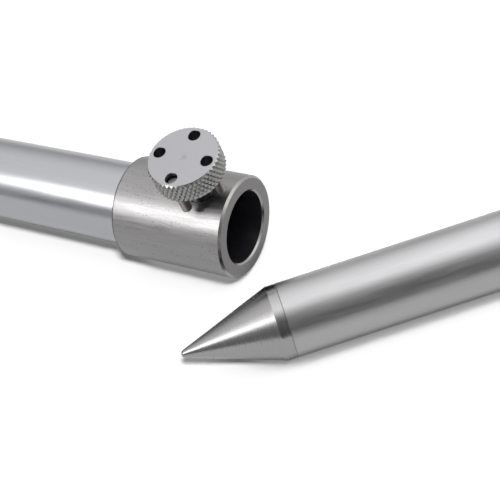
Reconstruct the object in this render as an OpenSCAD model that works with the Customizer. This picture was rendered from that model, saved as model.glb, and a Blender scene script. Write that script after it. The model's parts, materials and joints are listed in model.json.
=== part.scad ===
// Telescopic bank stick, taken apart: a collared outer section and a pointed inner section.
// The origin is where the thumbscrew's axis meets the axis of the collar's bore.
// +X points out of the collar's mouth and +Z points up. Both sections lie on one flat surface.

/* [Pointed section] */
// Outside diameter of the inner tube
inner_tube_d = 15.9; // [14:0.1:18]
// Wall of the inner tube
inner_tube_wall = 1.2; // [0.8:0.1:1.8]
// Length of the inner tube
inner_tube_length = 285; // [200:5:288]
// Length of the cone, from its shoulder to the rounded tip
cone_length = 20.5; // [14:0.5:30]
// Radius of the rounded tip
tip_radius = 0.9; // [0.5:0.1:1.5]
// Plain cylinder between the cone and the tube, flush with the tube
land_length = 2.1; // [1:0.1:5]
// Plug of the point inside the inner tube
point_plug_length = 15; // [8:0.5:20]
// Length of the plug that closes the inner tube's blunt end
bung_length = 12; // [8:0.5:14]
// How deep that plug sits inside the tube's end
bung_recess = 0.5; // [0.3:0.1:2]

/* [Outer section] */
// Gap all round between the inner tube and the outer tube
tube_gap = 0.55; // [0.45:0.05:0.8]
// Wall of the outer tube
outer_tube_wall = 1; // [0.8:0.1:1.8]
// Length of the outer tube
outer_tube_length = 253; // [245:1:400]

/* [Collar] */
// Metal of the collar over the outer tube
collar_wall = 2; // [1.5:0.1:3]
// Length of the collar
collar_length = 27.8; // [25:0.1:40]
// Depth of the seat that the outer tube is pressed into
tube_seat_depth = 13; // [10:0.5:14]
// Gap all round between the inner tube and the collar's bore
bore_gap = 0.15; // [0.1:0.05:0.3]
// Chamfer of the bore at the mouth
mouth_chamfer = 0.4; // [0.2:0.05:0.8]
// Chamfer of the outer edge around the mouth
rim_chamfer = 0.5; // [0.2:0.05:0.8]
// Chamfer of the outer edge where the tube goes in
rear_chamfer = 0.3; // [0.1:0.05:0.5]

/* [Top fitting] */
// Length of the fitting's rim behind the outer tube
fitting_rim_length = 8; // [5:0.5:15]
// Length of the fitting's plug inside the outer tube
fitting_plug_length = 18; // [10:0.5:25]
// Core diameter of the threaded hole for a rod rest
rest_hole_d = 8.3; // [6:0.1:10]
// Depth of the threaded hole
rest_hole_depth = 16; // [10:0.5:18]
// Chamfer where the threaded hole opens
rest_hole_chamfer = 0.7; // [0.3:0.1:1]

/* [Thumbscrew] */
// Distance from the collar's mouth to the thumbscrew's axis
screw_set_back = 7.45; // [6:0.05:9]
// Lean of the thumbscrew as the stick lies, towards the viewer
screw_lean = 9; // [0:0.05:30]
// Diameter over the knurl
knurl_d = 16.3; // [15:0.1:18]
// Diameter of the head's plain faces, inside the knurl
face_d = 15.2; // [14:0.1:16]
// Depth of the knurl
knurl_depth = 0.5; // [0.2:0.02:0.6]
// Diamonds around the rim
knurl_count = 46; // [36:1:60]
// Rows of diamonds across the rim, each one shifted by half a diamond
knurl_rows = 6; // [3:1:9]
// Thickness of the head
head_thickness = 5.2; // [4:0.1:8]
// Plain edge of the head above and below the knurl
head_edge = 0.2; // [0.2:0.05:0.6]
// Gap between the head and the collar when the screw is backed off
head_lift = 6.55; // [6:0.05:9]
// Outside diameter of the screw's thread
thread_d = 6; // [5:0.5:6]
// Diameter of the circle that the four holes lie on
pin_circle_d = 11.4; // [10.5:0.1:12]
// Diameter of the pins
pin_d = 2.2; // [1.5:0.1:2.6]
// Length of the pins below the head
pin_reach = 5; // [3:0.1:5.5]
// Diameter of the open holes above the pins
top_hole_d = 2.7; // [2:0.1:2.8]
// Depth of those holes, down to the pins
top_hole_depth = 3.2; // [1:0.1:4]

/* [Nylon tip] */
// Diameter of the tip's flange
tip_d = 4.8; // [3.5:0.1:4.9]
// Thickness of the tip's flange
tip_flange = 0.8; // [0.5:0.1:1]
// Diameter of the stem that holds the tip in the screw
tip_stem_d = 2; // [1.5:0.1:2.5]
// Length of the stem
tip_stem_length = 3; // [2:0.1:4]
// How far the tip lies back from the bore when the screw is backed off
tip_recess = 0.4; // [0.1:0.05:0.5]

/* [Where the pointed section lies] */
// Distance of the tip in front of the thumbscrew's axis
lay_x = 8.1; // [5:0.05:40]
// Distance of the tip to the side, towards the viewer
lay_y = -33.5; // [-60:0.05:-33]
// Direction of the pointed section, from its tip to its blunt end
lay_angle = 39.6; // [10:0.1:60]

/* [Hidden] */

$fn = 96;
// Overshoot of the cutting solids
cut = 0.5;
// Gap all round of pieces that are pressed or glued together
seat_gap = 0.02;
// Gap all round of pieces that turn or slide in each other
running_gap = 0.05;

inner_tube_bore = inner_tube_d - 2 * inner_tube_wall;
outer_tube_bore = inner_tube_d + 2 * tube_gap;
outer_tube_d = outer_tube_bore + 2 * outer_tube_wall;
collar_d = outer_tube_d + 2 * collar_wall;
collar_bore = inner_tube_d + 2 * bore_gap;

mouth_x = screw_set_back;
collar_rear_x = mouth_x - collar_length;
tube_front_x = collar_rear_x + tube_seat_depth;
tube_rear_x = tube_front_x - outer_tube_length;

head_bottom = collar_d / 2 + head_lift;
head_top = head_bottom + head_thickness;
tip_face = collar_bore / 2 + tip_recess;
screw_end = tip_face + tip_flange;
// Small chamfers of pins, plugs and screw ends
edge = 0.4;
// Shallow centre mark on the head
centre_mark_d = 1.8;
centre_mark_depth = 0.1;

// Pieces of the outer section stand on the bore's axis, drawn along +X
module along_bore(x) translate([x, 0, 0]) rotate([0, 90, 0]) children();

// The thumbscrew and its pieces stand on the leaning axis
module on_screw_axis() rotate([screw_lean, 0, 0]) children();

// The pointed section lies beside the collar, drawn from its tip along +X
module laid_aside() {
    translate([lay_x, lay_y, (inner_tube_d - collar_d) / 2])
        rotate([0, 0, lay_angle]) rotate([0, 90, 0]) children();
}

// A cylinder with a chamfer at each end
module turned(d, length, start, end) {
    rotate_extrude() polygon([
        [0, 0], [d / 2 - start, 0], [d / 2, start],
        [d / 2, length - end], [d / 2 - end, length], [0, length]
    ]);
}

// A cutting cone that breaks the edge of a hole at z = 0 and widens upwards
module edge_cutter(d, chamfer) {
    cylinder(h = chamfer + cut, d1 = d, d2 = d + 2 * (chamfer + cut));
}

module outer_tube() color("lightsteelblue") along_bore(tube_rear_x) difference() {
    cylinder(h = outer_tube_length, d = outer_tube_d);
    translate([0, 0, -cut]) cylinder(h = outer_tube_length + 2 * cut, d = outer_tube_bore);
}

module collar() color("silver") difference() {
    along_bore(collar_rear_x) difference() {
        turned(collar_d, collar_length, rear_chamfer, rim_chamfer);
        translate([0, 0, -cut]) cylinder(h = collar_length + 2 * cut, d = collar_bore);
        translate([0, 0, -cut])
            cylinder(h = tube_seat_depth + cut, d = outer_tube_d + 2 * seat_gap);
        translate([0, 0, collar_length - mouth_chamfer]) edge_cutter(collar_bore, mouth_chamfer);
    }
    on_screw_axis() cylinder(h = collar_d, d = thread_d + 2 * running_gap);
}

module top_fitting() color("silver") along_bore(tube_rear_x - fitting_rim_length) difference() {
    union() {
        turned(collar_d, fitting_rim_length, rim_chamfer, rear_chamfer);
        turned(outer_tube_bore - 2 * seat_gap, fitting_rim_length + fitting_plug_length, 0, edge);
    }
    translate([0, 0, -cut]) cylinder(h = rest_hole_depth + cut, d = rest_hole_d);
    mirror([0, 0, 1]) translate([0, 0, -rest_hole_chamfer])
        edge_cutter(rest_hole_d, rest_hole_chamfer);
}

// Diamond knurl: rings of points that stand out and lie back by turns, so that four
// triangles make each pyramid, between two smooth rings at the head's faces
steps = 2 * knurl_count;
rings = knurl_rows - 1;
knurl_pitch = (head_thickness - 2 * head_edge) / rings;
function knurl_r(i, j) = knurl_d / 2 - ((i + j) % 2 == 0 ? knurl_depth : 0);
function on_circle(r, i, z) = [r * cos(i * 360 / steps), r * sin(i * 360 / steps), z];
function knurl_points() = concat(
    [for (i = [0:steps - 1]) on_circle(face_d / 2, i, 0)],
    [for (j = [0:rings], i = [0:steps - 1])
        on_circle(knurl_r(i, j), i, head_edge + j * knurl_pitch)],
    [for (i = [0:steps - 1]) on_circle(face_d / 2, i, head_thickness)]);
function at(i, j) = j * steps + i % steps;
// The two triangles of one cell, divided from valley to valley
function cell(i, j) = (i + j) % 2 == 1
    ? [[at(i, j), at(i, j + 1), at(i + 1, j + 1)], [at(i, j), at(i + 1, j + 1), at(i + 1, j)]]
    : [[at(i, j), at(i, j + 1), at(i + 1, j)], [at(i + 1, j), at(i, j + 1), at(i + 1, j + 1)]];
function knurl_faces() = concat(
    [[for (i = [0:steps - 1]) i]],
    [for (j = [0:rings + 1], i = [0:steps - 1], triangle = cell(i, j)) triangle],
    [[for (i = [steps - 1:-1:0]) at(i, rings + 2)]]);

module pin_places() {
    for (k = [0:3]) rotate([0, 0, 90 * k]) translate([pin_circle_d / 2, 0, 0]) children();
}

module thumbscrew() color("silver") on_screw_axis() difference() {
    union() {
        translate([0, 0, head_bottom]) polyhedron(knurl_points(), knurl_faces());
        translate([0, 0, screw_end])
            turned(thread_d, head_bottom - screw_end + edge, edge, 0);
    }
    translate([0, 0, head_bottom - cut]) pin_places()
        cylinder(h = head_thickness, d = pin_d + 2 * seat_gap, $fn = 48);
    translate([0, 0, head_top - top_hole_depth]) pin_places()
        cylinder(h = top_hole_depth + cut, d = top_hole_d, $fn = 48);
    translate([0, 0, screw_end - cut])
        cylinder(h = tip_stem_length + 2 * cut, d = tip_stem_d + 2 * running_gap, $fn = 48);
    translate([0, 0, head_top - centre_mark_depth])
        cylinder(h = centre_mark_depth * 2, d1 = 0, d2 = centre_mark_d * 2, $fn = 48);
}

// One pin, pressed into its hole from below
module head_pin(k) {
    color("dimgray") on_screw_axis() rotate([0, 0, 90 * (k - 1)])
        translate([pin_circle_d / 2, 0, head_bottom - pin_reach])
            turned(pin_d, pin_reach + head_thickness - top_hole_depth, edge, 0);
}

module nylon_tip() color("ivory") on_screw_axis() translate([0, 0, tip_face]) {
    turned(tip_d, tip_flange, edge / 2, 0);
    cylinder(h = tip_flange + tip_stem_length, d = tip_stem_d, $fn = 48);
}

module inner_tube() color("gainsboro") laid_aside() difference() {
    translate([0, 0, cone_length + land_length]) cylinder(h = inner_tube_length, d = inner_tube_d);
    translate([0, 0, cone_length + land_length - cut])
        cylinder(h = inner_tube_length + 2 * cut, d = inner_tube_bore);
}

// Half angle of the cone whose flank touches the rounded tip
to_shoulder = [inner_tube_d / 2, cone_length - tip_radius];
flank_angle = atan(to_shoulder[0] / to_shoulder[1]) - asin(tip_radius / norm(to_shoulder));
tip_steps = 10;

module point() color("silver") laid_aside() {
    rotate_extrude() polygon(concat(
        [for (k = [0:tip_steps]) let (a = (90 - flank_angle) * k / tip_steps)
            tip_radius * [sin(a), 1 - cos(a)]],
        [[inner_tube_d / 2, cone_length], [inner_tube_d / 2, cone_length + land_length],
         [0, cone_length + land_length]]));
    translate([0, 0, cone_length + land_length - edge])
        turned(inner_tube_bore - 2 * seat_gap, point_plug_length + edge, 0, edge);
}

module end_bung() color("dimgray") laid_aside() {
    translate([0, 0, cone_length + land_length + inner_tube_length - bung_recess - bung_length])
        turned(inner_tube_bore - 2 * running_gap, bung_length, edge, edge);
}

outer_tube();
collar();
top_fitting();
thumbscrew();
head_pin(1);  // head_pin_1
head_pin(2);  // head_pin_2
head_pin(3);  // head_pin_3
head_pin(4);  // head_pin_4
nylon_tip();
inner_tube();
point();
end_bung();
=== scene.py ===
"""Looks of a telescopic bank stick, around its CAD part: the outer section with its collar and
knurled thumbscrew, and the pointed section lying beside it, on a pale floor."""

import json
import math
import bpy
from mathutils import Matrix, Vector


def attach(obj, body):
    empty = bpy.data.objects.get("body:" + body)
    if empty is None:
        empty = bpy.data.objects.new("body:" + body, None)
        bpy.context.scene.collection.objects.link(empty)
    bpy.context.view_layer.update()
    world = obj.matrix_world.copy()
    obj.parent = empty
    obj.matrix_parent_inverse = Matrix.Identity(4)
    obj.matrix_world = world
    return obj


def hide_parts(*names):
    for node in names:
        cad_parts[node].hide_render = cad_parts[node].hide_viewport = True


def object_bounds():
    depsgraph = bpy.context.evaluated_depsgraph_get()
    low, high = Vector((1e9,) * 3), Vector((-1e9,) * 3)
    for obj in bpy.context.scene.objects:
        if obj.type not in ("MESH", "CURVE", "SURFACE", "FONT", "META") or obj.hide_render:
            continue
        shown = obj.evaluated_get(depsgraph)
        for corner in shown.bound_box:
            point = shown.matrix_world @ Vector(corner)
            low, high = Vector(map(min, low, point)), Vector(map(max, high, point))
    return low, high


bl_info = {
    "name": "Bank Stick",
    "version": (1, 0, 0),
    "blender": (4, 5, 0),
    "location": "3D View > Sidebar > Bank Stick",
    "description": "Builds the looks of a two-part bank stick around its CAD part",
    "category": "Object",
}

import bmesh
import bpy
from bpy.props import FloatProperty, FloatVectorProperty, IntProperty, PointerProperty
from mathutils import Matrix, Quaternion, Vector

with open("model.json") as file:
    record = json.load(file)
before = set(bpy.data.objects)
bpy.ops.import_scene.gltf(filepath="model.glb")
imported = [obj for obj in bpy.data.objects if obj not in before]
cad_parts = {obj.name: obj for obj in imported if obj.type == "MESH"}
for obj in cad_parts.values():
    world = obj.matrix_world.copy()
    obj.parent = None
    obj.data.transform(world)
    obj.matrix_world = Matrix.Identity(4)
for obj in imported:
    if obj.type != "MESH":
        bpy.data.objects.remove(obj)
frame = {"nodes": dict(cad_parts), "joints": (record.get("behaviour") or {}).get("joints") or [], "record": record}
CAD_BOX = [list(corner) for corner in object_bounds()]

MM = 0.001
TURN = 2 * math.pi
TINY = 1e-7  # Lengths shorter than this count as none
WELD = 0.5e-6  # Corners of two parts closer than this are joined
SEAT_GAP = 0.02 * MM  # Between a piece and the seat that it is pressed into
PINS = 4
NEAR_PIN = 3  # Counted from 0: it sits higher and reaches lower than the others
RECORD = frame["record"]
MOUNTS = {mount["name"]: mount for mount in RECORD["mounts"]}
JOINTS = {joint["name"]: joint for joint in frame["joints"]}


# Places of the pieces: local X is the axis that a piece is turned about


def place_along(axis, side, origin):
    """A place at origin with local X along axis and local Y as near to side as it can be."""
    x = Vector(axis).normalized()
    y = (Vector(side) - x * x.dot(Vector(side))).normalized()
    z = x.cross(y)
    return Matrix.Translation(Vector(origin)) @ Matrix((x, y, z)).transposed().to_4x4()


def turned_size(node, place):
    """Start, end, smallest and largest radius of a CAD node about the local X of a place."""
    inverse = place.inverted()
    points = [inverse @ vertex.co for vertex in frame["nodes"][node].data.vertices]
    along = [point.x for point in points]
    radii = [math.hypot(point.y, point.z) for point in points]
    return min(along), max(along), min(radii), max(radii)


BORE = Matrix.Identity(4)
SCREW = place_along(JOINTS["thumbscrew_turn"]["axis"], (1, 0, 0), (0, 0, 0))
TUBE_MIDDLE = Vector(MOUNTS["pointed_tube"]["pos_m"])
LAID_AXIS = Vector(MOUNTS["pointed_tube"]["axis"]).normalized()
_from_middle = place_along(LAID_AXIS, (0, 0, 1), TUBE_MIDDLE)
LAID = place_along(
    LAID_AXIS, (0, 0, 1), TUBE_MIDDLE + LAID_AXIS * turned_size("point", _from_middle)[0]
)

OUTER_TUBE = turned_size("outer_tube", BORE)
COLLAR = turned_size("collar", BORE)
TOP_FITTING = turned_size("top_fitting", BORE)
HEAD = turned_size("thumbscrew", SCREW)
PIN = turned_size("head_pin_1", SCREW)
TIP = turned_size("nylon_tip", SCREW)
INNER_TUBE = turned_size("inner_tube", LAID)
POINT = turned_size("point", LAID)
BUNG = turned_size("end_bung", LAID)
REST_THREAD = MOUNTS["rest_thread"]
BORE_MOUNT = MOUNTS["collar_bore"]
FLOOR_Z = CAD_BOX[0][2]


# Sizes and colours that a user would change


def length(name, description, default):
    """A length in metres."""
    return FloatProperty(
        name=name, description=description, default=default, min=0, max=1,
        subtype="DISTANCE", unit="LENGTH", precision=5,
    )


def share(name, description, default):
    """A share from 0 to 1."""
    return FloatProperty(
        name=name, description=description, default=default, min=0, max=1, subtype="FACTOR"
    )


def colour(name, description, default):
    """A linear colour."""
    return FloatVectorProperty(
        name=name, description=description, default=default, size=3, min=0, max=1, subtype="COLOR"
    )


def level(name, description, default):
    """A strength of light, where 1 is white."""
    return FloatProperty(name=name, description=description, default=default, min=0, max=50)


class BANKSTICK_PG_outer_section(bpy.types.PropertyGroup):
    """Finishes and edges of the outer section"""

    tube_colour: colour("Tube", "Clear anodised aluminium of the outer tube", (0.43, 0.435, 0.455))
    tube_roughness: share("Tube roughness", "How satin the outer tube is", 0.24)
    collar_colour: colour("Collar", "Brushed steel of the collar", (0.302, 0.296, 0.296))
    collar_roughness: share("Collar roughness", "How satin the collar is", 0.35)
    # The mouth's face is turned steel, coloured darker than the collar as painted shade
    faced_end_shade_colour: colour("Faced end", "Turned steel of the collar's mouth", (0.225, 0.217, 0.218))
    # Painted highlight: the mouth's chamfers are coloured lighter than the collar, and are glossier
    chamfer_highlight_colour: colour("Cut edges", "Chamfers of the mouth, painted lighter than the collar as a highlight", (0.35, 0.347, 0.335))
    # Painted shade: the collar's rear chamfer is coloured dark as the dark line where the collar meets the tube
    rear_shade_colour: colour("Rear edge", "Dark edge at the collar's rear", (0.08, 0.08, 0.082))
    bore_colour: colour("Bore", "Dull metal inside the bore", (0.32, 0.31, 0.35))
    streak_length: length("Streak length", "Length of the brushed streaks", 9 * MM)
    streak_width: length("Streak width", "Width of the brushed streaks", 0.42 * MM)
    edge_break: length("Edge break", "Radius of the broken edges", 0.1 * MM)


class BANKSTICK_PG_thumbscrew(bpy.types.PropertyGroup):
    """Sizes and finishes of the thumbscrew and its pins"""

    head_colour: colour("Head", "Satin steel of the head", (0.40, 0.396, 0.414))
    # The knurl is the head's steel, coloured darker as painted shade between its diamonds
    knurl_shade_colour: colour("Knurl", "Satin steel of the knurl", (0.335, 0.335, 0.328))
    face_roughness: share("Face roughness", "How satin the head's face is", 0.42)
    knurl_roughness: share("Knurl roughness", "How satin the knurl is", 0.24)
    # Painted shade: the head's underside and the screw are coloured near black for the shade below the head
    underside_shade_colour: colour("Underside shade", "Steel under the head, painted near black as shade", (0.05, 0.05, 0.052))
    # Painted shade: the walls of the drilled holes and the pins' tops in them are coloured darker than the head
    hole_shade_colour: colour("Hole shade", "Steel inside the drilled holes", (0.22, 0.22, 0.225))
    pin_colour: colour("Pins", "Warm grey wire of the pins", (0.31, 0.293, 0.276))
    diamonds: IntProperty(
        name="Diamonds", description="Diamonds around the knurl", default=46, min=24, max=72
    )
    rows: IntProperty(
        name="Rows",
        description="Rows of diamonds across the knurl, each shifted by half a diamond",
        default=6, min=3, max=12,
    )
    knurl_depth: length("Knurl depth", "Depth of the knurl", 0.52 * MM)
    knurl_edge: length("Knurl edge", "Plain edge above and below the knurl", 0.2 * MM)
    knurl_chamfer: length("Knurl chamfer", "Height of the chamfer at the knurl's edges", 0.38 * MM)
    knurl_wear: share("Knurl wear", "How far the diamonds' crowns are worn flat", 0.3)
    head_thickness: length("Head thickness", "Thickness of the head", 5.2 * MM)
    face_diameter: length("Face", "Diameter of the head's plain faces", 15.2 * MM)
    shank_diameter: length("Shank", "Diameter of the screw's thread", 6 * MM)
    pitch: length("Pitch", "Pitch of the screw's thread", 1 * MM)
    pin_diameter: length("Pin", "Diameter of the pins", 2.2 * MM)
    hole_circle: length("Hole circle", "Diameter of the circle of holes", 11.4 * MM)
    hole_diameter: length("Holes", "Diameter of the open holes above the pins", 2.7 * MM)
    pin_rise: length("Pin rise", "How much higher the near pin sits in its hole", 2.0 * MM)
    pin_drop: length("Pin drop", "How much lower the near pin reaches", 0.5 * MM)
    mark_diameter: length("Centre mark", "Diameter of the shallow centre mark", 1.8 * MM)
    mark_depth: length("Centre mark depth", "Depth of the shallow centre mark", 0.06 * MM)


class BANKSTICK_PG_pointed_section(bpy.types.PropertyGroup):
    """Sizes and finishes of the pointed section"""

    tube_colour: colour("Tube", "Satin aluminium of the inner tube", (0.43, 0.43, 0.437))
    tube_roughness: share("Tube roughness", "How satin the inner tube is", 0.32)
    point_colour: colour("Point", "Turned steel of the point", (0.365, 0.358, 0.362))
    point_roughness: share("Point roughness", "How smooth the point is turned", 0.24)
    cone_length: length("Cone", "Length of the cone", 20.5 * MM)
    tip_radius: length("Tip", "Radius of the rounded tip", 0.9 * MM)
    land_length: length("Land", "Plain cylinder behind the cone", 2.1 * MM)
    lathe_pitch: length("Lathe lines", "Distance between the lathe lines", 0.16 * MM)
    seam_width: length("Seam", "Broken edges where the point meets the tube", 0.09 * MM)


class BANKSTICK_PG_stage(bpy.types.PropertyGroup):
    """Floor, light and lens"""

    floor_colour: colour("Floor", "Colour of the floor", (0.27, 0.27, 0.27))
    # Contact, bounce and shadow glow shape the floor's painted shadow
    contact_share: share("Contact", "Share of that colour where an object touches the floor", 0.05)
    bounce_share: share("Bounce", "Share of that colour that the object's gloss sees", 0.76)
    shadow_glow: level("Shadow glow", "Light that the floor adds where an object touches it", 0.285)
    floor_light: level("Floor light", "Strength of the lamp that lights the floor alone", 11.3)
    shadow_reach: length("Shadow reach", "How far the shadow reaches over the floor", 6 * MM)
    overhead: level("Overhead", "Strength of the overhead light", 1.54)
    horizon: level("Horizon", "Strength of the light at the horizon", 0.66)
    key: level("Key", "Radiance of the softbox in front on the left", 2.4)
    key_core: level("Key core", "Radiance of the lamp that shines through the softbox", 49.0)
    lens: FloatProperty(
        name="Lens", description="Focal length in millimetres", default=84.06, min=20, max=300
    )


# Turned shapes


def fillet(profile, at, radius, steps):
    """Points that round the corner at one index of a closed profile of (x, r) points."""
    corner = Vector(profile[at])
    back = (Vector(profile[at - 1]) - corner).normalized()
    ahead = (Vector(profile[(at + 1) % len(profile)]) - corner).normalized()
    half = math.acos(max(-1, min(1, back.dot(ahead)))) / 2
    reach = radius / math.tan(half)
    centre = corner + (back + ahead).normalized() * (radius / math.sin(half))
    start, end = corner + back * reach - centre, corner + ahead * reach - centre
    sweep = start.angle_signed(end)

    def on_arc(angle):
        """The point of the arc at an angle from its start."""
        cosine, sine = math.cos(angle), math.sin(angle)
        return centre + Vector((
            start.x * cosine + start.y * sine, start.y * cosine - start.x * sine
        ))

    return [tuple(on_arc(sweep * k / steps)) for k in range(steps + 1)]


def rounded(corners, steps=3):
    """A closed profile from (x, r, corner radius) corners."""
    sharp = [(x, r) for x, r, radius in corners]
    profile = []
    for k, (x, r, radius) in enumerate(corners):
        profile += fillet(sharp, k, radius, steps) if radius else [(x, r)]
    return profile


def turned_mesh(name, profile, steps=128, relief=None, closed=True):
    """Turns a profile of (x, r) points about X. relief(x, r, angle) may move r."""
    vertices, rings = [], []
    for x, r in profile:
        if r < TINY:
            rings.append([len(vertices)] * (steps + 1))
            vertices.append((x, 0, 0))
            continue
        first = len(vertices)
        for j in range(steps):
            angle = TURN * j / steps
            radius = relief(x, r, angle) if relief else r
            vertices.append((x, radius * math.cos(angle), radius * math.sin(angle)))
        rings.append([first + j for j in range(steps)] + [first])
    along = [0.0]
    for (x0, r0), (x1, r1) in zip(profile, profile[1:] + profile[:1]):
        along.append(along[-1] + math.hypot(x1 - x0, r1 - r0))
    widest = max(r for x, r in profile)
    faces, places = [], []
    pairs = len(profile) if closed else len(profile) - 1
    for k in range(pairs):
        this, after = rings[k], rings[(k + 1) % len(rings)]
        for j in range(steps):
            u0, u1 = TURN * widest * j / steps, TURN * widest * (j + 1) / steps
            corners = [
                (this[j], (u0, along[k])),
                (after[j], (u0, along[k + 1])),
                (after[j + 1], (u1, along[k + 1])),
                (this[j + 1], (u1, along[k])),
            ]
            if this[j] == this[j + 1]:
                corners.pop()
            elif after[j] == after[j + 1]:
                corners.pop(2)
            if len({corner[0] for corner in corners}) < 3:
                continue
            faces.append([corner[0] for corner in corners])
            places += [corner[1] for corner in corners]
    mesh = bpy.data.meshes.new(name)
    mesh.from_pydata(vertices, [], faces)
    layer = mesh.uv_layers.new(name="Turned")
    for loop, place in zip(layer.data, places):
        loop.uv = place
    mesh.update()
    return mesh


SIDEWAYS_LIMIT = 0.06  # A face that looks further sideways than this was not turned about X


def turned_normals(mesh, edge_angle=32, cut_flat=None):
    """Shades faces that were turned about X as true cylinders, cones and flats.

    Edges sharper than edge_angle, in degrees, stay sharp. cut_flat(centre) tells the faces that
    keep their own flat shade, such as a knurl's."""
    for polygon in mesh.polygons:
        polygon.use_smooth = True
    mesh.set_sharp_from_angle(angle=math.radians(edge_angle))
    normals = [Vector(corner.vector) for corner in mesh.corner_normals]
    for polygon in mesh.polygons:
        if cut_flat and cut_flat(polygon.center):
            for loop in polygon.loop_indices:
                normals[loop] = Vector(polygon.normal)
            continue
        middle = Vector((0, polygon.center.y, polygon.center.z))
        if middle.length > TINY:
            outwards = middle.normalized()
            sideways = polygon.normal.dot(Vector((1, 0, 0)).cross(outwards))
            if abs(sideways) > SIDEWAYS_LIMIT:
                continue
            lean = polygon.normal.dot(outwards)
        else:
            outwards, lean = Vector((0, 0, 0)), 0.0
        for loop in polygon.loop_indices:
            point = mesh.vertices[mesh.loops[loop].vertex_index].co
            spoke = Vector((0, point.y, point.z))
            spoke = spoke.normalized() if spoke.length > TINY else outwards
            normals[loop] = (Vector((polygon.normal.x, 0, 0)) + spoke * lean).normalized()
    mesh.normals_split_custom_set(normals)


def cut_out(mesh, cutter):
    """The mesh with the cutter's mesh taken out of it."""
    whole = bpy.data.objects.new("uncut", mesh)
    tool = bpy.data.objects.new("cutter", cutter)
    for helper in (whole, tool):
        bpy.context.scene.collection.objects.link(helper)
    boolean = whole.modifiers.new("cut", "BOOLEAN")
    boolean.operation = "DIFFERENCE"
    boolean.solver = "EXACT"
    boolean.object = tool
    bpy.context.view_layer.update()
    shown = whole.evaluated_get(bpy.context.evaluated_depsgraph_get())
    result = bpy.data.meshes.new_from_object(shown)
    result.name = mesh.name
    for helper in (whole, tool):
        bpy.data.objects.remove(helper)
    for spare in (mesh, cutter):
        bpy.data.meshes.remove(spare)
    return result


CHAMFER_SLANT = 1.2  # Width of the knurl's chamfer, as a share of its height


def knurled_rim(name, start, end, edge, chamfer, face, crest, valley, count, rows, crown):
    """A rim along X covered with pyramids, whose crowns are worn flat by the share crown.

    The outermost rows are cut back by a chamfer."""
    steps, rings = 2 * count, rows - 1
    pitch = (end - start - 2 * edge) / rings
    shape = bmesh.new()

    def point(i, j, r):
        """The place of column i and row j at radius r. Rows -1 and rings + 1 are the faces."""
        x = start + edge + j * pitch
        if j in (0, rings):
            x = start + chamfer if j == 0 else end - chamfer
        elif not 0 < j < rings:
            x = start if j < 0 else end
        angle = TURN * i / steps
        return Vector((x, r * math.cos(angle), r * math.sin(angle)))

    made = {}

    def corner(i, j):
        """The vertex of column i and row j: a crest, a valley or a face's edge."""
        key = (i % steps, j)
        if key not in made:
            r = face if not 0 <= j <= rings else (valley if (i + j) % 2 else crest)
            if j in (0, rings):
                r = min(r, face + CHAMFER_SLANT * chamfer)
            made[key] = shape.verts.new(point(i, j, r))
        return made[key]

    for j in range(rings + 1):
        for i in range(steps):
            if (i + j) % 2:
                continue
            top = corner(i, j)
            if j in (0, rings):
                inner, outer = (1, -1) if j == 0 else (rings - 1, rings + 1)
                left, right = corner(i - 1, j), corner(i + 1, j)
                around = [corner(i, inner), left, corner(i - 1, outer), corner(i, outer),
                          corner(i + 1, outer), right]
                for low, after in zip(around, around[1:] + around[:1]):
                    shape.faces.new((low, after, top))
                continue
            around = [corner(i - 1, j), corner(i, j + 1), corner(i + 1, j), corner(i, j - 1)]
            worn = [shape.verts.new(top.co.lerp(low.co, crown)) for low in around]
            sides = list(zip(around, worn))
            for (low, high), (low_after, high_after) in zip(sides, sides[1:] + sides[:1]):
                shape.faces.new((low, high, high_after, low_after))
            shape.faces.new(worn)
            shape.verts.remove(top)
            del made[(i % steps, j)]
    mesh = bpy.data.meshes.new(name)
    shape.to_mesh(mesh)
    shape.free()
    return mesh


def welded(name, parts):
    """One closed mesh from parts whose edges meet."""
    shape = bmesh.new()
    for part in parts:
        shape.from_mesh(part)
        bpy.data.meshes.remove(part)
    bmesh.ops.remove_doubles(shape, verts=shape.verts, dist=WELD)
    bmesh.ops.recalc_face_normals(shape, faces=shape.faces)
    mesh = bpy.data.meshes.new(name)
    shape.to_mesh(mesh)
    shape.free()
    return mesh


def put_in_place(mesh, place, finishes, body, node, choose=None):
    """Makes the piece that shows a CAD node, set in its place, and hands it to the node's body.

    choose(centre) picks the finish of a face by its centre along and about the piece's axis."""
    mesh.materials.clear()
    for finish in finishes:
        mesh.materials.append(finish)
    if choose:
        for polygon in mesh.polygons:
            polygon.material_index = choose(polygon.center)
    mesh.transform(place)
    piece = bpy.data.objects.new(f"{node}_dressed", mesh)
    bpy.context.scene.collection.objects.link(piece)
    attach(piece, body)
    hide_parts(node)


# Finishes


LENGTHWISE, ROUND_ABOUT = 0, 0.25  # Which way the gloss is stretched, in turns
USUAL_NOISE = (0.25, 0.75)  # Between these lie most values of a noise
SPECK_CORE = 0.4  # Share of a speck's width that is fully dark
NATURAL_NYLON = (0.72, 0.69, 0.6)
BLACK_NYLON = (0.02, 0.02, 0.022)


def smooth_step(tree, value, low, high, to_low, to_high):
    """A smooth step of a value between two limits."""
    step = tree.nodes.new("ShaderNodeMapRange")
    step.interpolation_type = "SMOOTHSTEP"
    for name, number in (
        ("From Min", low), ("From Max", high), ("To Min", to_low), ("To Max", to_high)
    ):
        step.inputs[name].default_value = number
    tree.links.new(value, step.inputs["Value"])
    return step.outputs["Result"]


def combined(tree, operation, first, second):
    """Two values put together by an operation such as MULTIPLY."""
    node = tree.nodes.new("ShaderNodeMath")
    node.operation = operation
    tree.links.new(first, node.inputs[0])
    tree.links.new(second, node.inputs[1])
    return node.outputs[0]


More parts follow.
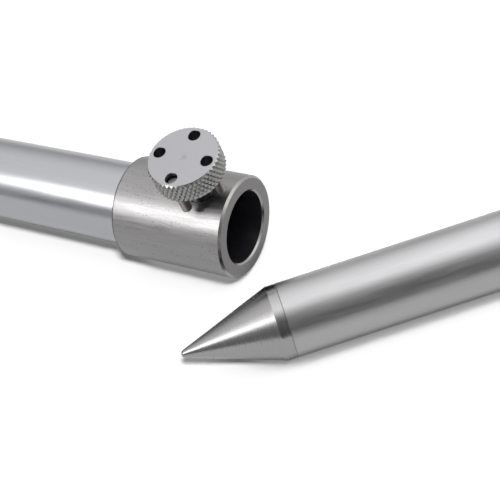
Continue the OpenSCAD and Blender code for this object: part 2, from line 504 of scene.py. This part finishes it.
class Finish:
    """A procedural material in the making, laid along the local X of a place."""

    def __init__(self, name, place, base, roughness, metallic=1.0):
        self.material = bpy.data.materials.new(name)
        self.material.use_nodes = True
        self.tree = self.material.node_tree
        self.nodes, self.links = self.tree.nodes, self.tree.links
        self.shader = self.nodes["Principled BSDF"]
        self.shader.inputs["Metallic"].default_value = metallic
        self.shader.inputs["Base Color"].default_value = (*base, 1)
        self.shader.inputs["Roughness"].default_value = roughness
        self.base, self.roughness, self.place = base, roughness, place
        self.places = self.nodes.new("ShaderNodeTexCoord").outputs["Object"]
        self.bumped = None

    def grid(self, grain):
        """Local places measured in grains, where grain = (along, across) in metres."""
        along, across = grain
        mapping = self.nodes.new("ShaderNodeMapping")
        mapping.vector_type = "TEXTURE"
        mapping.inputs["Location"].default_value = self.place.to_translation()
        mapping.inputs["Rotation"].default_value = self.place.to_euler()
        mapping.inputs["Scale"].default_value = (along, across, across)
        self.links.new(self.places, mapping.inputs["Vector"])
        return mapping.outputs["Vector"]

    def noise(self, grain, detail, roughness=0.55):
        """Noise with a given grain."""
        noise = self.nodes.new("ShaderNodeTexNoise")
        noise.inputs["Scale"].default_value = 1
        noise.inputs["Detail"].default_value = detail
        noise.inputs["Roughness"].default_value = roughness
        self.links.new(self.grid(grain), noise.inputs["Vector"])
        return noise.outputs["Fac"]

    def specks(self, grain, size):
        """0 in small specks, 1 elsewhere."""
        cells = self.nodes.new("ShaderNodeTexVoronoi")
        cells.inputs["Scale"].default_value = 1
        self.links.new(self.grid(grain), cells.inputs["Vector"])
        return self.ramp(cells.outputs["Distance"], size * SPECK_CORE, size)

    def ramp(self, value, low, high, to_low=0, to_high=1):
        """A smooth step of a value between two limits."""
        return smooth_step(self.tree, value, low, high, to_low, to_high)

    def combined(self, operation, first, second):
        """Two values put together by an operation such as MULTIPLY."""
        return combined(self.tree, operation, first, second)

    def tint(self, value, darkest, lightest):
        """Shades the base colour between two shares of it.

        A second tint shades from a share of the base colour to what the first tint gave."""
        mix = self.nodes.new("ShaderNodeMix")
        mix.data_type = "RGBA"
        mix.inputs["A"].default_value = (*[c * darkest for c in self.base], 1)
        linked = self.shader.inputs["Base Color"].links
        if linked:
            self.links.new(linked[0].from_socket, mix.inputs["B"])
        else:
            mix.inputs["B"].default_value = (*[min(1, c * lightest) for c in self.base], 1)
        self.links.new(value, mix.inputs["Factor"])
        self.links.new(mix.outputs["Result"], self.shader.inputs["Base Color"])

    def satin(self, value, spread):
        """Spreads the roughness about its level."""
        out = self.ramp(value, *USUAL_NOISE, self.roughness - spread, self.roughness + spread)
        self.links.new(out, self.shader.inputs["Roughness"])

    def bump(self, height, distance):
        """Adds a bump, whose full height is a distance in metres."""
        bump = self.nodes.new("ShaderNodeBump")
        bump.inputs["Distance"].default_value = distance
        bump.inputs["Strength"].default_value = 1
        self.links.new(height, bump.inputs["Height"])
        if self.bumped:
            self.links.new(self.bumped, bump.inputs["Normal"])
        self.bumped = bump.outputs["Normal"]
        self.links.new(self.bumped, self.shader.inputs["Normal"])

    def stretch(self, amount, way):
        """Stretches the gloss, as fine lines do that run LENGTHWISE or ROUND_ABOUT the piece."""
        tangent = self.nodes.new("ShaderNodeTangent")
        tangent.direction_type = "UV_MAP"
        tangent.uv_map = "Turned"
        self.links.new(tangent.outputs["Tangent"], self.shader.inputs["Tangent"])
        self.shader.inputs["Anisotropic"].default_value = amount
        self.shader.inputs["Anisotropic Rotation"].default_value = way


def anodised_tube(props):
    """Clear anodised aluminium: bluish, with very faint drawing lines."""
    finish = Finish("clear anodised aluminium", BORE, props.tube_colour, props.tube_roughness)
    lines = finish.noise((40 * MM, 0.5 * MM), detail=4)
    finish.tint(lines, darkest=0.95, lightest=1.04)
    finish.satin(finish.noise((12 * MM, 1.2 * MM), detail=2), spread=0.03)
    finish.bump(lines, distance=0.4e-6)
    finish.stretch(0.35, LENGTHWISE)
    return finish.material


def brushed_steel(props):
    """Steel brushed along its length, with ragged streaks and small dark pits."""
    finish = Finish("brushed steel", BORE, props.collar_colour, props.collar_roughness)
    streaks = finish.noise((props.streak_length, props.streak_width), detail=5, roughness=0.62)
    finish.tint(streaks, darkest=0.76, lightest=1.2)
    patches = finish.noise((5 * MM, 2 * MM), detail=2)
    clean = finish.ramp(patches, low=0.47, high=0.6, to_low=1, to_high=0)
    pits = finish.combined("MAXIMUM", finish.specks((0.75 * MM, 0.55 * MM), size=0.28), clean)
    finish.tint(pits, darkest=0.5, lightest=1.0)
    finish.satin(streaks, spread=0.08)
    finish.bump(streaks, distance=7e-6)
    finish.bump(finish.noise((1 * MM, 0.13 * MM), detail=3, roughness=0.6), distance=25e-6)
    finish.stretch(0.45, LENGTHWISE)
    return finish.material


def dull_bore(props):
    """The inside of the bore: smooth and dark."""
    finish = Finish("dull bore", BORE, props.bore_colour, roughness=0.3)
    finish.tint(finish.noise((8 * MM, 1.5 * MM), detail=3), darkest=0.8, lightest=1.1)
    finish.bump(finish.noise((6 * MM, 0.8 * MM), detail=2), distance=1e-6)
    return finish.material


def satin_steel(name, place, base, roughness):
    """Steel with a fine satin finish."""
    finish = Finish(name, place, base, roughness)
    fine = finish.noise((0.22 * MM, 0.22 * MM), detail=3)
    finish.tint(fine, darkest=0.95, lightest=1.05)
    finish.satin(finish.noise((1.5 * MM, 1.5 * MM), detail=2), spread=0.03)
    finish.bump(fine, distance=1.2e-6)
    return finish.material


def centre_mark(props):
    """The satin face where the lathe's centre left a smudge."""
    finish = Finish("centre mark", SCREW, props.head_colour, props.face_roughness)
    smudge = finish.noise((0.45 * MM, 0.45 * MM), detail=3, roughness=0.6)
    finish.tint(finish.ramp(smudge, low=0.35, high=0.6), darkest=0.85, lightest=1.0)
    finish.bump(smudge, distance=8e-6)
    return finish.material


def shade_painted_steel(name, base):
    """Steel coloured dark as painted shade: the head's underside and the screw, the drilled holes and the pins'
    ends.
    """
    finish = Finish(name, SCREW, base, roughness=0.36)
    finish.tint(finish.noise((0.6 * MM, 0.6 * MM), detail=3), darkest=0.8, lightest=1.15)
    finish.bump(finish.noise((0.25 * MM, 0.25 * MM), detail=3), distance=3e-6)
    return finish.material


def pin_wire(props):
    """Warm grey drawn wire."""
    finish = Finish("drawn wire", SCREW, props.pin_colour, roughness=0.3)
    finish.tint(finish.noise((2 * MM, 0.3 * MM), detail=3), darkest=0.85, lightest=1.1)
    finish.bump(finish.noise((1.2 * MM, 0.25 * MM), detail=3), distance=3e-6)
    finish.stretch(0.3, LENGTHWISE)
    return finish.material


def satin_tube(props):
    """Aluminium with a satin finish brushed along its length."""
    finish = Finish("satin aluminium", LAID, props.tube_colour, props.tube_roughness)
    lines = finish.noise((14 * MM, 0.3 * MM), detail=4, roughness=0.6)
    finish.tint(lines, darkest=0.93, lightest=1.05)
    finish.satin(finish.noise((9 * MM, 0.9 * MM), detail=2), spread=0.04)
    finish.bump(lines, distance=2e-6)
    finish.stretch(0.4, LENGTHWISE)
    return finish.material


def turned_steel(props):
    """Steel with fine lathe lines round it."""
    finish = Finish("turned steel", LAID, props.point_colour, props.point_roughness)
    lines = finish.noise((props.lathe_pitch, 6 * MM), detail=3, roughness=0.6)
    finish.tint(lines, darkest=0.9, lightest=1.06)
    finish.satin(finish.noise((0.5 * MM, 8 * MM), detail=2), spread=0.05)
    finish.bump(lines, distance=3e-6)
    finish.stretch(0.6, ROUND_ABOUT)
    return finish.material


def nylon(name, place, base, roughness):
    """Moulded nylon."""
    finish = Finish(name, place, base, roughness, metallic=0.0)
    cloud = finish.noise((1.5 * MM, 1.5 * MM), detail=3)
    finish.tint(cloud, darkest=0.9, lightest=1.05)
    finish.bump(finish.noise((0.3 * MM, 0.3 * MM), detail=2), distance=4e-6)
    return finish.material


# Pieces


def tube_profile(start, end, inner, outer, edge):
    """The profile of a plain tube with its edges broken."""
    return rounded([
        (start, inner, edge), (end, inner, edge), (end, outer, edge), (start, outer, edge)
    ])


def thread_cut(x, angle, pitch, clip):
    """How deep a thread is cut at a place, from 0 on its crest to 1 in its root.

    The higher clip is above 1, the wider is the flat of the root."""
    wave = abs((x / pitch - angle / TURN) % 1 * 2 - 1)
    return min(1, wave * clip)


def hole_place(number, circle):
    """Where a hole of the head lies about the screw's axis, by its number and their circle."""
    turn = Matrix.Rotation(TURN * number / PINS, 4, "X")
    return turn @ Matrix.Translation((0, circle / 2, 0))


class BANKSTICK_OT_outer_tube(bpy.types.Operator):
    """Make the outer tube"""

    bl_idname = "bankstick.outer_tube"
    bl_label = "Outer tube"

    def execute(self, context):
        props = context.scene.bankstick_outer
        mesh = turned_mesh("outer_tube", tube_profile(*OUTER_TUBE, props.edge_break))
        turned_normals(mesh)
        put_in_place(
            mesh, BORE, [anodised_tube(props)],
            body="outer_section", node="outer_tube",
        )
        return {"FINISHED"}


class BANKSTICK_OT_collar(bpy.types.Operator):
    """Make the collar with its bore, its seat for the tube and the thumbscrew's hole"""

    bl_idname = "bankstick.collar"
    bl_label = "Collar"

    def execute(self, context):
        props = context.scene.bankstick_outer
        rear, mouth, _, outer = COLLAR
        bore = BORE_MOUNT["dims"]["r_mm"] * MM
        seat, seat_front = OUTER_TUBE[3] + SEAT_GAP, OUTER_TUBE[1]
        seat_break, mouth_break, rim = 0.12 * MM, 0.4 * MM, 0.5 * MM
        rear_rim, rear_edge = 0.3 * MM, 0.45 * MM
        fine, soft = 0.06 * MM, 0.12 * MM
        profile = rounded([
            (rear, seat + seat_break, 0),
            (rear + seat_break, seat, 0),
            (seat_front, seat, 0),
            (seat_front, bore, 0),
            (mouth - mouth_break, bore, fine),
            (mouth, bore + mouth_break, fine),
            (mouth, outer - rim, soft),
            (mouth - rim, outer, soft),
            (rear + rear_edge, outer, 0),
            (rear + rear_rim, outer, fine),
            (rear, outer - rear_rim, fine),
        ])
        mesh = turned_mesh("collar", profile, steps=192)
        hole_start, hole_end, hole_radius = 4 * MM, 20 * MM, 3.05 * MM
        hole = turned_mesh("hole", [
            (hole_start, 0), (hole_end, 0), (hole_end, hole_radius), (hole_start, hole_radius)
        ], steps=48)
        hole.transform(SCREW)
        mesh = cut_out(mesh, hole)
        turned_normals(mesh)
        bore_skin, faced_skin = 0.02 * MM, 0.01 * MM
        brushed, bored, faced, cut, rear_shade = range(5)

        def finish_at(centre):
            """The number of a face's finish."""
            radius = math.hypot(centre.y, centre.z)
            if radius < bore + bore_skin:
                return bored
            # The chamfers get the lighter painted highlight
            if centre.x > mouth - rim:
                # The mouth's face gets its darker colour of painted shade
                return faced if centre.x > mouth - faced_skin else cut
            # The rear chamfer gets the dark painted shade
            at_rear = centre.x < rear + rear_edge and radius > outer - rear_rim
            return rear_shade if at_rear else brushed

        put_in_place(
            mesh, BORE,
            [
                brushed_steel(props),
                dull_bore(props),
                satin_steel("faced end painted shade", BORE, props.faced_end_shade_colour, roughness=0.36),
                satin_steel("cut edge painted highlight", BORE, props.chamfer_highlight_colour, roughness=0.22),
                satin_steel("rear edge painted shade", BORE, props.rear_shade_colour, roughness=0.3),
            ],
            body="outer_section", node="collar",
            choose=finish_at,
        )
        return {"FINISHED"}


class BANKSTICK_OT_top_fitting(bpy.types.Operator):
    """Make the top fitting with its threaded hole"""

    bl_idname = "bankstick.top_fitting"
    bl_label = "Top fitting"

    def execute(self, context):
        props = context.scene.bankstick_outer
        end, plug_end, _, outer = TOP_FITTING
        core = REST_THREAD["dims"]["r_mm"] * MM
        rim_front = OUTER_TUBE[0]
        plug = OUTER_TUBE[2] - SEAT_GAP
        hole_break, end_break, rim_break, plug_break = 0.7 * MM, 0.5 * MM, 0.2 * MM, 0.4 * MM
        depth, pitch, groove = 16 * MM, 1.27 * MM, 0.55 * MM
        run_in, root_clip, rows = 1.5 * MM, 1.15, 96
        first, last = end + hole_break, end + depth
        thread = [(first + (last - first) * k / rows, core) for k in range(rows + 1)]
        inside = [(last, 0)] + thread[::-1] + [(end, core + hole_break)]
        outside = [
            (end, outer - end_break), (end + end_break, outer), (rim_front - rim_break, outer),
            (rim_front, outer - rim_break), (rim_front, plug), (plug_end - plug_break, plug),
            (plug_end, plug - plug_break), (plug_end, 0),
        ]
        profile = outside[::-1] + inside[::-1]

        def thread_relief(x, r, angle):
            """Cuts the thread into the hole's wall, and fades it out at the hole's end."""
            if abs(r - core) > TINY or not first <= x <= last:
                return r
            fade = min(1, (last - x) / run_in)
            return r + groove * fade * thread_cut(x, angle, pitch, root_clip)

        mesh = turned_mesh(
            "top_fitting", profile, steps=96, relief=thread_relief, closed=False
        )
        turned_normals(mesh)
        put_in_place(
            mesh, BORE, [brushed_steel(props)],
            body="outer_section", node="top_fitting",
        )
        return {"FINISHED"}


class BANKSTICK_OT_thumbscrew(bpy.types.Operator):
    """Make the thumbscrew with its diamond knurl, four holes and threaded shank"""

    bl_idname = "bankstick.thumbscrew"
    bl_label = "Thumbscrew"

    def execute(self, context):
        props = context.scene.bankstick_screw
        shank_end, top, _, crest = HEAD
        bottom = top - props.head_thickness
        face, thread = props.face_diameter / 2, props.shank_diameter / 2
        mark = props.mark_diameter / 2
        steps = 2 * props.diamonds
        tip_break, run_out, fade_length = 0.4 * MM, 0.8 * MM, 1 * MM
        thread_depth, root_clip, rows = 0.54 * MM, 1.1, 80
        shank_start = shank_end + tip_break

        def thread_relief(x, r, angle):
            """Cuts the thread into the shank, and fades it out below the head."""
            if not shank_end <= x < bottom or abs(r - thread) > TINY:
                return r
            fade = max(0, min(1, (bottom - run_out - x) / fade_length))
            return r - thread_depth * fade * thread_cut(x, angle, props.pitch, root_clip)

        shank = [
            (bottom + (shank_start - bottom) * k / rows, thread) for k in range(rows + 1)
        ]
        mesh = welded("thumbscrew", [
            turned_mesh("top", [(top - props.mark_depth, 0), (top, mark), (top, face)], steps,
                        closed=False),
            knurled_rim("rim", bottom, top, props.knurl_edge, props.knurl_chamfer, face, crest,
                        valley=crest - props.knurl_depth, count=props.diamonds,
                        rows=props.rows, crown=props.knurl_wear),
            turned_mesh("shank", [(bottom, face)] + shank
                        + [(shank_end, thread - tip_break), (shank_end, 0)],
                        steps, thread_relief, closed=False),
        ])
        hole, pin_end = props.hole_diameter / 2, PIN[1]
        pin_hole = props.pin_diameter / 2 + SEAT_GAP
        hole_break, past = 0.08 * MM, 1 * MM
        for k in range(PINS):
            drill = turned_mesh("hole", [
                (bottom - past, 0), (top + past, 0), (top + past, hole + hole_break + past),
                (top - hole_break, hole), (pin_end, hole), (pin_end, pin_hole),
                (bottom - past, pin_hole),
            ], steps=48)
            drill.transform(hole_place(k, props.hole_circle))
            mesh = cut_out(mesh, drill)
        rim_depth, skin, face_skin = 1 * MM, 1e-6, 0.085 * MM
        plain, knurled, dull, marked, drilled = range(5)

        def on_rim(centre):
            """Whether a face belongs to the knurled rim."""
            radius = math.hypot(centre.y, centre.z)
            return bottom + skin < centre.x < top - skin and radius > crest - rim_depth

        def finish_at(centre):
            """The number of a face's finish."""
            if on_rim(centre):
                return knurled
            # The underside and the screw get the near black painted shade
            if centre.x < bottom + skin:
                return dull
            # The walls of the holes get the darker painted shade
            if centre.x < top - max(face_skin, props.mark_depth):
                return drilled
            return marked if math.hypot(centre.y, centre.z) < mark else plain

        turned_normals(mesh, edge_angle=40, cut_flat=on_rim)
        put_in_place(
            mesh, SCREW,
            [
                satin_steel("satin head", SCREW, props.head_colour, props.face_roughness),
                # Painted shade: the knurl's steel is darker than the face's
                satin_steel("satin knurl painted shade", SCREW, props.knurl_shade_colour, props.knurl_roughness),
                # Painted shade under the head
                shade_painted_steel("underside painted shade", props.underside_shade_colour),
                centre_mark(props),
                shade_painted_steel("hole painted shade", props.hole_shade_colour),
            ],
            body="lock_screw", node="thumbscrew",
            choose=finish_at,
        )
        return {"FINISHED"}


class BANKSTICK_OT_head_pins(bpy.types.Operator):
    """Make the four pins pressed into the head"""

    bl_idname = "bankstick.head_pins"
    bl_label = "Head pins"

    def execute(self, context):
        props = context.scene.bankstick_screw
        radius = props.pin_diameter / 2
        # The pins' tops, deep in the holes, get the painted shade of the holes
        finishes = [pin_wire(props), shade_painted_steel("pin end painted shade", props.hole_shade_colour)]
        seat_edge, free_edge, shaded_cap_depth = 0.15 * MM, 0.45 * MM, 0.2 * MM
        for k in range(PINS):
            near = k == NEAR_PIN
            start = PIN[0] - (props.pin_drop if near else 0)
            end = PIN[1] + (props.pin_rise if near else 0)
            node = f"head_pin_{k + 1}"
            mesh = turned_mesh(node, rounded([
                (start, 0, 0), (end, 0, 0), (end, radius, seat_edge), (start, radius, free_edge)
            ], steps=6), steps=48)
            turned_normals(mesh)
            put_in_place(
                mesh, SCREW @ hole_place(k, props.hole_circle), finishes,
                body="lock_screw", node=node,
                choose=lambda centre: int(centre.x > end - shaded_cap_depth),
            )
        return {"FINISHED"}


class BANKSTICK_OT_nylon_tip(bpy.types.Operator):
    """Make the nylon tip that presses on the tube"""

    bl_idname = "bankstick.nylon_tip"
    bl_label = "Nylon tip"

    def execute(self, context):
        start, end, _, flange = TIP
        stem, flange_end = 1 * MM, start + 0.8 * MM
        edge, rim = 0.1 * MM, 0.2 * MM
        mesh = turned_mesh("nylon_tip", rounded([
            (start, 0, 0), (end, 0, 0), (end, stem, edge), (flange_end, stem, 0),
            (flange_end, flange, edge), (start, flange, rim),
        ]), steps=64)
        turned_normals(mesh)
        put_in_place(
            mesh, SCREW, [nylon("natural nylon", SCREW, NATURAL_NYLON, roughness=0.45)],
            body="screw_tip", node="nylon_tip",
        )
        return {"FINISHED"}


class BANKSTICK_OT_inner_tube(bpy.types.Operator):
    """Make the inner tube of the pointed section"""

    bl_idname = "bankstick.inner_tube"
    bl_label = "Inner tube"

    def execute(self, context):
        props = context.scene.bankstick_pointed
        start, end, inner, outer = INNER_TUBE
        seam = props.seam_width
        inner_edge, outer_edge = 0.1 * MM, 0.25 * MM
        mesh = turned_mesh("inner_tube", rounded([
            (start, inner, 0), (end, inner, inner_edge), (end, outer, outer_edge),
            (start + seam, outer, 0), (start, outer - seam, 0),
        ]))
        turned_normals(mesh)
        put_in_place(
            mesh, LAID, [satin_tube(props)],
            body="pointed_section", node="inner_tube",
        )
        return {"FINISHED"}


class BANKSTICK_OT_point(bpy.types.Operator):
    """Make the turned point"""

    bl_idname = "bankstick.point"
    bl_label = "Point"

    def execute(self, context):
        props = context.scene.bankstick_pointed
        _, plug_end, _, outer = POINT
        plug, plug_break = INNER_TUBE[2] - SEAT_GAP, 0.4 * MM
        cone, tip, seam = props.cone_length, props.tip_radius, props.seam_width
        shoulder = Vector((outer, cone - tip))
        flank = math.atan2(shoulder.x, shoulder.y) - math.asin(tip / shoulder.length)
        arc_steps = 16
        arc = [
            (tip * (1 - math.cos(a)), tip * math.sin(a))
            for a in ((math.pi / 2 - flank) * k / arc_steps for k in range(arc_steps + 1))
        ]
        land_end = cone + props.land_length
        back = [
            (plug_end, 0), (plug_end, plug - plug_break), (plug_end - plug_break, plug),
            (land_end, plug), (land_end, outer - seam), (land_end - seam, outer),
            (cone, outer),
        ]
        mesh = turned_mesh("point", back + arc[::-1], steps=160, closed=False)
        turned_normals(mesh)
        put_in_place(
            mesh, LAID, [turned_steel(props)],
            body="pointed_section", node="point",
        )
        return {"FINISHED"}


class BANKSTICK_OT_end_bung(bpy.types.Operator):
    """Make the bung in the inner tube's blunt end"""

    bl_idname = "bankstick.end_bung"
    bl_label = "End bung"

    def execute(self, context):
        start, end, _, outer = BUNG
        recess_floor, recess_radius, rim_radius = end - 0.6 * MM, outer * 0.55, outer * 0.62
        corner, edge, inner_edge = 0.2 * MM, 0.3 * MM, 0.4 * MM
        mesh = turned_mesh("end_bung", rounded([
            (start, 0, 0), (recess_floor, 0, 0), (recess_floor, recess_radius, corner),
            (end, rim_radius, edge), (end, outer, edge), (start, outer, inner_edge),
        ]), steps=96)
        turned_normals(mesh)
        put_in_place(
            mesh, LAID, [nylon("black nylon", LAID, BLACK_NYLON, roughness=0.4)],
            body="section_guide", node="end_bung",
        )
        return {"FINISHED"}


# Stage


# Shades of the studio: a direction, where along it the step starts and ends, and the shares of
# light before and after it
RIGHTWARDS = ((1, 0, 0), -0.6, 0.1, 0.75, 1.27)
FAR_LEFT = ((-1, 0, 0), 0.62, 0.88, 1.0, 0.55)
CAMERA_SIDE = ((0.50, -0.68, 0.53), 0.55, 0.97, 1.0, 0.1)
LOW_FRONT = ((-0.2, -0.95, 0.1), 0.6, 0.95, 1.0, 0.55)
SKY_RISE = (0.05, 0.75)  # From the horizon's light to the overhead light

SHADOW_EDGES = (0.29, 0.46)  # How open the floor is at the dark and the pale side of the shadow
BOUNCE_EDGES = (0.4, 0.9)  # The same for the floor that the object's gloss sees
BOUNCE_AT_CONTACT = 0.3  # Share of the bounce that is left where an object touches the floor

FLOOR_REACH = 20.0
SOFTBOX_SIZE, SOFTBOX_DISTANCE = (0.80, 0.53), 1.4
SOFTBOX_TOWARDS = (-0.46, -0.645, 0.61)
CORE_WIDTH, CORE_DISTANCE = 0.14, 1.38
CORE_TOWARDS = (-0.467, -0.667, 0.581)
FLOOR_LIGHT_TOWARDS, FLOOR_LIGHT_WIDTH = (0.438, -0.343, 0.831), math.radians(9)
CAMERA_PLACE = Vector((122.813, -144.082, 176.752)) * MM
CAMERA_TURN = Quaternion((0.907521185, 0.338063679, 0.181393256, 0.170923256))


def studio_world(props):
    """Pale grey studio: bright overhead, darker low in front, dark where the camera stands.

    The camera sees it plain white."""
    world = bpy.data.worlds.new("studio")
    bpy.context.scene.world = world
    world.use_nodes = True
    tree = world.node_tree
    nodes, links = tree.nodes, tree.links
    direction = nodes.new("ShaderNodeTexCoord").outputs["Generated"]

    def step_along(axis, low, high, to_low, to_high):
        """A smooth step of the light along an axis."""
        dot = nodes.new("ShaderNodeVectorMath")
        dot.operation = "DOT_PRODUCT"
        dot.inputs[1].default_value = Vector(axis).normalized()
        links.new(direction, dot.inputs[0])
        return smooth_step(tree, dot.outputs["Value"], low, high, to_low, to_high)

    light = step_along((0, 0, 1), *SKY_RISE, props.horizon, props.overhead)
    for shade in (RIGHTWARDS, FAR_LEFT, CAMERA_SIDE, LOW_FRONT):
        light = combined(tree, "MULTIPLY", light, step_along(*shade))
    backdrop = nodes.new("ShaderNodeMix")
    backdrop.inputs["B"].default_value = 1
    links.new(light, backdrop.inputs["A"])
    links.new(nodes.new("ShaderNodeLightPath").outputs["Is Camera Ray"], backdrop.inputs["Factor"])
    links.new(backdrop.outputs["Result"], nodes["Background"].inputs["Strength"])
    nodes["Background"].inputs["Color"].default_value = (1, 1, 1, 1)


def pale_floor(props):
    """A floor that is white where nothing stands close over it. Its shadows are partly cast by the lamps and
    partly painted: an ambient occlusion node darkens its colour near objects, for the camera and for reflections,
    and a glow sets the grey of that painted shadow.
    """
    finish = Finish("pale floor", BORE, props.floor_colour, roughness=0.9, metallic=0.0)
    finish.shader.inputs["Specular IOR Level"].default_value = 0
    camera_ray = finish.nodes.new("ShaderNodeLightPath").outputs["Is Camera Ray"]
    # Painted shadow: the floor's colour is darkened near objects by ambient occlusion, not by a lamp
    openness = finish.nodes.new("ShaderNodeAmbientOcclusion")
    openness.samples = 12
    openness.inputs["Distance"].default_value = props.shadow_reach
    open_air = openness.outputs["AO"]
    far = finish.ramp(open_air, *SHADOW_EDGES)
    seen = finish.ramp(far, 0, 1, props.contact_share, 1)
    mirrored = finish.ramp(
        open_air, *BOUNCE_EDGES, BOUNCE_AT_CONTACT * props.bounce_share, props.bounce_share
    )
    other_ray = finish.ramp(camera_ray, 0, 1, 1, 0)
    shade = finish.combined(
        "ADD",
        finish.combined("MULTIPLY", camera_ray, seen),
        finish.combined("MULTIPLY", other_ray, mirrored),
    )
    finish.tint(shade, darkest=0, lightest=1)
    # Painted light: the floor glows for the camera inside that painted shadow, which sets its grey
    glow = finish.ramp(far, 0, 1, props.shadow_glow, 0)
    finish.shader.inputs["Emission Color"].default_value = (1, 1, 1, 1)
    finish.links.new(
        finish.combined("MULTIPLY", camera_ray, glow), finish.shader.inputs["Emission Strength"]
    )
    return finish.material


def hang(light, towards, distance):
    """Hangs a lamp in a direction from the origin, which it shines at."""
    towards = Vector(towards).normalized()
    lamp = bpy.data.objects.new(light.name, light)
    bpy.context.scene.collection.objects.link(lamp)
    lamp.location = towards * distance
    lamp.rotation_mode = "QUATERNION"
    lamp.rotation_quaternion = towards.to_track_quat("Z", "Y")
    return lamp


class BANKSTICK_OT_stage(bpy.types.Operator):
    """Set the floor, the lights and the camera"""

    bl_idname = "bankstick.stage"
    bl_label = "Stage"

    def execute(self, context):
        scene = context.scene
        props = scene.bankstick_stage
        mesh = bpy.data.meshes.new("floor")
        corners = [(-1, -1), (1, -1), (1, 1), (-1, 1)]
        mesh.from_pydata(
            [(x * FLOOR_REACH, y * FLOOR_REACH, 0) for x, y in corners], [], [(0, 1, 2, 3)]
        )
        floor = bpy.data.objects.new("floor", mesh)
        scene.collection.objects.link(floor)
        floor.location = (0, 0, FLOOR_Z)
        mesh.materials.append(pale_floor(props))

        studio_world(props)

        key = bpy.data.lights.new("key softbox", "AREA")
        key.shape = "RECTANGLE"
        key.size, key.size_y = SOFTBOX_SIZE
        key.energy = props.key * math.pi * key.size * key.size_y
        hang(key, SOFTBOX_TOWARDS, SOFTBOX_DISTANCE)
        core = bpy.data.lights.new("lamp in the softbox", "AREA")
        core.shape = "DISK"
        core.size = CORE_WIDTH
        core.energy = props.key_core * math.pi * math.pi / 4 * core.size ** 2
        hang(core, CORE_TOWARDS, CORE_DISTANCE)

        sun = bpy.data.lights.new("floor light", "SUN")
        sun.angle = FLOOR_LIGHT_WIDTH
        sun.energy = props.floor_light
        floor_only = bpy.data.collections.new("lit by the floor light")
        floor_only.objects.link(floor)
        hang(sun, FLOOR_LIGHT_TOWARDS, distance=1).light_linking.receiver_collection = floor_only

        lens = bpy.data.cameras.new("camera")
        lens.lens = props.lens
        lens.sensor_width = 36
        camera = bpy.data.objects.new("camera", lens)
        scene.collection.objects.link(camera)
        camera.location = CAMERA_PLACE
        camera.rotation_mode = "QUATERNION"
        camera.rotation_quaternion = CAMERA_TURN
        scene.camera = camera
        scene.view_settings.view_transform = "Standard"
        return {"FINISHED"}


class BANKSTICK_PT_panel(bpy.types.Panel):
    """Lists the pieces of the bank stick"""

    bl_idname = "BANKSTICK_PT_panel"
    bl_label = "Bank Stick"
    bl_space_type = "VIEW_3D"
    bl_region_type = "UI"
    bl_category = "Bank Stick"

    def draw(self, context):
        for operator in OPERATORS:
            self.layout.operator(operator.bl_idname)
        for group in ("outer", "screw", "pointed", "stage"):
            props = getattr(context.scene, f"bankstick_{group}")
            box = self.layout.box()
            for name in props.__annotations__:
                box.prop(props, name)


GROUPS = {
    "bankstick_outer": BANKSTICK_PG_outer_section,
    "bankstick_screw": BANKSTICK_PG_thumbscrew,
    "bankstick_pointed": BANKSTICK_PG_pointed_section,
    "bankstick_stage": BANKSTICK_PG_stage,
}
OPERATORS = (
    BANKSTICK_OT_outer_tube,
    BANKSTICK_OT_collar,
    BANKSTICK_OT_top_fitting,
    BANKSTICK_OT_thumbscrew,
    BANKSTICK_OT_head_pins,
    BANKSTICK_OT_nylon_tip,
    BANKSTICK_OT_inner_tube,
    BANKSTICK_OT_point,
    BANKSTICK_OT_end_bung,
    BANKSTICK_OT_stage,
)


def register():
    """Registers the classes and gives the scene its properties."""
    for name, group in GROUPS.items():
        bpy.utils.register_class(group)
        setattr(bpy.types.Scene, name, PointerProperty(type=group))
    for cls in (*OPERATORS, BANKSTICK_PT_panel):
        bpy.utils.register_class(cls)


def unregister():
    """Undoes what register did."""
    for cls in (BANKSTICK_PT_panel, *reversed(OPERATORS)):
        bpy.utils.unregister_class(cls)
    for name, group in GROUPS.items():
        delattr(bpy.types.Scene, name)
        bpy.utils.unregister_class(group)


def main():
    """Makes every piece and the stage in order."""
    register()
    for operator in OPERATORS:
        group, name = operator.bl_idname.split(".")
        getattr(getattr(bpy.ops, group), name)()


if __name__ == "__main__":
    main()
